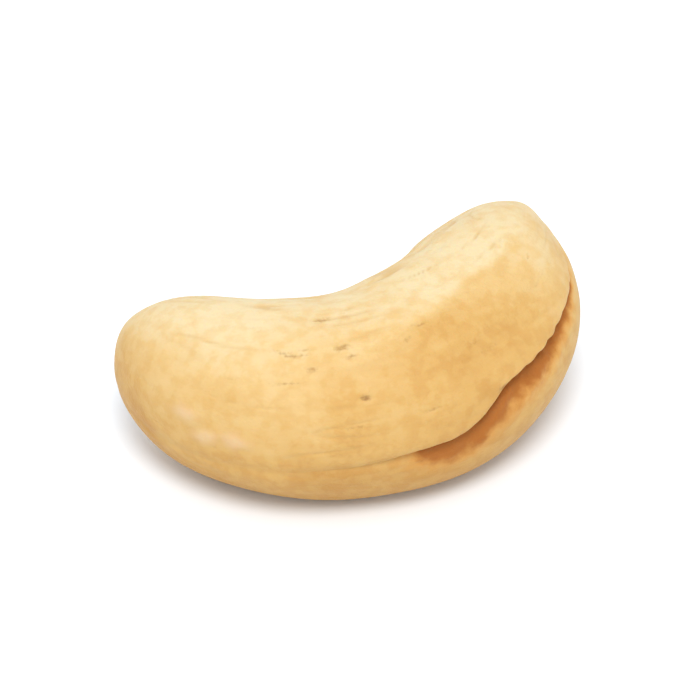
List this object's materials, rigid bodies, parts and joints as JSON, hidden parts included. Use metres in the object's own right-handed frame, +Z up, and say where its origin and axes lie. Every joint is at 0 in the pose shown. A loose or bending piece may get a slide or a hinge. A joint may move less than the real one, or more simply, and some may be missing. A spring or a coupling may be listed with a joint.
{
  "type": "cashew kernel",
  "caption": "Whole shelled and peeled cashew kernel: a plump kidney-shaped nut, bowed round a shallow bay, with a seam along its edge that gapes on one arm.",
  "frame": {"origin": "on the floor, under the middle of the kernel's box", "axes": "+Z up off the flat spot it lies on, +X along its length from the blunt tip to the slim tip, +Y out of the bay between the arms"},
  "size_m": [0.026, 0.015, 0.011],
  "materials": {
    "kernel": "pale cream to golden tan nut flesh, satin, with fine lengthwise wrinkles"
  },
  "bodies": {
    "root": {"cashew_kernel": "kernel"}
  },
  "joints": []
}
